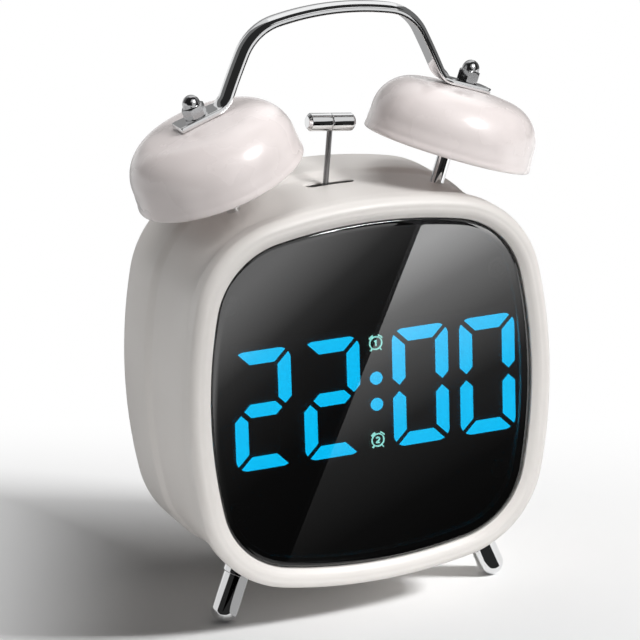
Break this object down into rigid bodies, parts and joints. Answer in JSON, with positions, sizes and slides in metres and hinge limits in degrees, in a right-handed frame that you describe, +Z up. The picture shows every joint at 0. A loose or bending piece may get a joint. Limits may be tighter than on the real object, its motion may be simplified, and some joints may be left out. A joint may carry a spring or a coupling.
{
  "type": "twin-bell digital alarm clock",
  "caption": "Table alarm clock with a bowed square case, a smoked lens over seven-segment digits, bells struck by a motor-driven hammer, a chrome handle and splayed legs.",
  "frame": {"origin": "on the table under the middle of the clock, halfway between its frontmost and rearmost points", "axes": "+X to the right seen from the front, +Y from the face to the back, +Z up from the table"},
  "size_m": [0.1132, 0.0608, 0.1617],
  "materials": {
    "case_plastic": "fine satin, warm off-white",
    "lens_smoke": "polished, smoked almost black",
    "display_black": "dull black",
    "segment_lit": "glowing light blue",
    "segment_off": "dark, unlit",
    "bell_enamel": "gloss enamel, pinkish white",
    "chrome": "polished",
    "zinc_steel": "zinc plated",
    "motor_can": "drawn can",
    "foot_rubber": "matt",
    "tape_black": "foam tape",
    "board_green": "solder mask",
    "chip_black": "moulded",
    "cell_wrap": "printed sleeve",
    "button_plastic": "fine satin",
    "lever_acetal": "moulded"
  },
  "bodies": {
    "clock": {"front_bezel": "case_plastic", "lens": "lens_smoke", "lens_tape": "tape_black", "display_carrier": "display_black", "lit_segments": "segment_lit", "unlit_segments": "segment_off", "main_board": "board_green", "board_chips": "chip_black", "board_screws": "zinc_steel", "case_shell": "case_plastic", "rear_cover": "case_plastic", "case_screws": "zinc_steel", "battery_cells": "cell_wrap", "battery_contacts": "zinc_steel", "button_board": "board_green", "button_switches": "chip_black", "power_socket": "zinc_steel", "left_bell": "bell_enamel", "right_bell": "bell_enamel", "left_post": "chrome", "right_post": "chrome", "post_nuts": "zinc_steel", "handle": "chrome", "acorn_nuts": "chrome", "left_leg": "chrome", "right_leg": "chrome", "leg_nuts": "zinc_steel", "rear_foot": "foot_rubber", "pivot_pin": "zinc_steel", "hammer_bracket": "zinc_steel", "bracket_screws": "zinc_steel", "hammer_motor": "motor_can"},
    "hammer": {"hammer_head": "chrome", "hammer_rod": "chrome", "hammer_lever": "lever_acetal"},
    "crank": {"crank_wheel": "lever_acetal"},
    "door": {"battery_door": "case_plastic"},
    "time_key": {"time_button": "button_plastic"},
    "alarm_one_key": {"alarm_one_button": "button_plastic"},
    "alarm_two_key": {"alarm_two_button": "button_plastic"},
    "up_key": {"up_button": "button_plastic"},
    "down_key": {"down_button": "button_plastic"}
  },
  "joints": [
    {"name": "hammer_swing", "type": "hinge", "parent": "clock", "child": "hammer", "pos_m": [-0.00345, 0.00214, 0.09868], "axis": [0, -0.9973, 0.0732], "range_deg": [-6, 6]},
    {"name": "crank_turn", "type": "hinge", "parent": "clock", "child": "crank", "pos_m": [-0.00345, 0.00425, 0.0865], "axis": [0, -0.9973, 0.0732], "range_deg": [-90, 90]},
    {"name": "door_hinge", "type": "hinge", "parent": "clock", "child": "door", "pos_m": [0, 0.02284, 0.01875], "axis": [-1, 0, 0], "range_deg": [0, 85]},
    {"name": "time_press", "type": "slide", "parent": "clock", "child": "time_key", "axis": [0, -0.9973, 0.0732], "range_m": [0, 0.0012], "stiffness_N_per_m": 700, "springref_m": -0.0004},
    {"name": "alarm_one_press", "type": "slide", "parent": "clock", "child": "alarm_one_key", "axis": [0, -0.9973, 0.0732], "range_m": [0, 0.0012], "stiffness_N_per_m": 700, "springref_m": -0.0004},
    {"name": "alarm_two_press", "type": "slide", "parent": "clock", "child": "alarm_two_key", "axis": [0, -0.9973, 0.0732], "range_m": [0, 0.0012], "stiffness_N_per_m": 700, "springref_m": -0.0004},
    {"name": "up_press", "type": "slide", "parent": "clock", "child": "up_key", "axis": [0, -0.9973, 0.0732], "range_m": [0, 0.0012], "stiffness_N_per_m": 700, "springref_m": -0.0004},
    {"name": "down_press", "type": "slide", "parent": "clock", "child": "down_key", "axis": [0, -0.9973, 0.0732], "range_m": [0, 0.0012], "stiffness_N_per_m": 700, "springref_m": -0.0004}
  ],
  "couplings": [
    {"joint": "crank_turn", "follows": "hammer_swing", "ratio": 15}
  ]
}
